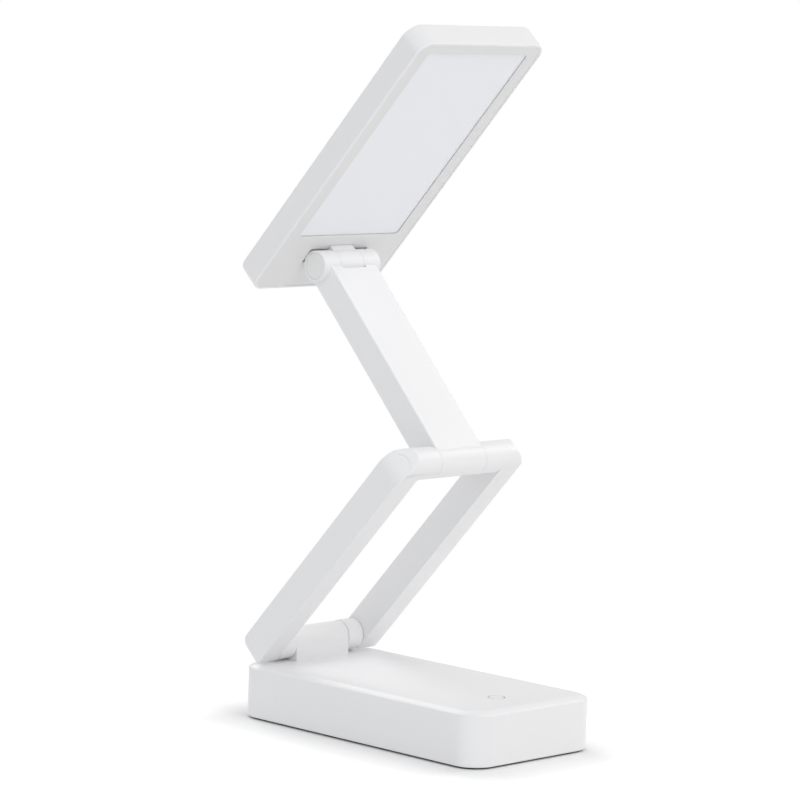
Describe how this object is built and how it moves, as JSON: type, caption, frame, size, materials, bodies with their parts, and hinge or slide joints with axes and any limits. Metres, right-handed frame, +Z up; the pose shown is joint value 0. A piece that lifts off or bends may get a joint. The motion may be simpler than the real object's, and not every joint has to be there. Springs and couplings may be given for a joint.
{
  "type": "folding led desk lamp",
  "caption": "Rechargeable folding desk lamp: a weighted flat base, a two-legged lower frame, a slim upper arm and a flat edge-lit lighting head that folds down onto the base.",
  "frame": {"origin": "centre of the face of the anti-slip pad that rests on the desk", "axes": "+Z up from the desk, +Y towards the hinge end of the base, +X along the hinge axes to the lamp's right seen from the button end"},
  "size_m": [0.0984, 0.1997, 0.3992],
  "materials": {
    "white_plastic": "fine satin white moulding",
    "cover_plastic": "satin white moulding, a touch greyer",
    "bright_steel": "plain steel",
    "grey_rubber": "matt anti-slip rubber",
    "weight_iron": "blackened plate",
    "dark_plastic": "matt black moulding",
    "cell_sleeve": "shrink sleeve",
    "board_laminate": "solder-masked laminate",
    "opal_sheet": "opal diffuser sheet",
    "clear_acrylic": "clear acrylic",
    "reflector_film": "white reflector film",
    "led_laminate": "white laminate strip",
    "led_phosphor": "phosphor fill"
  },
  "bodies": {
    "base": {"base_shell": "white_plastic", "base_bottom_cover": "cover_plastic", "antislip_pad": "grey_rubber", "base_screws": "bright_steel", "counterweight": "weight_iron", "battery_tray": "dark_plastic", "battery_cells": "cell_sleeve", "main_board": "board_laminate", "usb_socket": "bright_steel", "button_board": "board_laminate", "tact_switch": "dark_plastic", "board_screws": "bright_steel", "hinge_saddle": "white_plastic", "saddle_screws": "bright_steel"},
    "button": {"button_cap": "white_plastic"},
    "lower_frame": {"left_leg": "white_plastic", "right_leg": "white_plastic", "leg_covers": "cover_plastic", "hinge_collars": "white_plastic", "base_axle": "bright_steel", "mid_axle": "bright_steel", "base_friction_washers": "bright_steel", "mid_friction_washers": "bright_steel"},
    "upper_arm": {"arm_shell": "white_plastic", "arm_back_cover": "cover_plastic", "head_axle": "bright_steel", "barrel_caps": "cover_plastic", "head_friction_washers": "bright_steel"},
    "head": {"head_shell": "white_plastic", "head_bezel": "cover_plastic", "diffuser": "opal_sheet", "light_guide": "clear_acrylic", "reflector_sheet": "reflector_film", "led_boards": "led_laminate", "led_chips": "led_phosphor", "head_knuckle": "white_plastic", "knuckle_screws": "bright_steel"}
  },
  "joints": [
    {"name": "base_hinge", "type": "hinge", "parent": "base", "child": "lower_frame", "pos_m": [0, 0.085, 0.0413], "axis": [1, 0, 0], "range_deg": [-43, 47]},
    {"name": "mid_hinge", "type": "hinge", "parent": "lower_frame", "child": "upper_arm", "pos_m": [0, -0.02412, 0.15832], "axis": [-1, 0, 0], "range_deg": [-40, 94]},
    {"name": "head_hinge", "type": "hinge", "parent": "upper_arm", "child": "head", "pos_m": [0, 0.06931, 0.26056], "axis": [1, 0, 0], "range_deg": [-40, 94]},
    {"name": "button_press", "type": "slide", "parent": "base", "child": "button", "axis": [0, 0, -1], "range_m": [0, 0.0008], "stiffness_N_per_m": 1200}
  ],
  "couplings": [
    {"joint": "head_hinge", "follows": "mid_hinge", "ratio": 1}
  ]
}
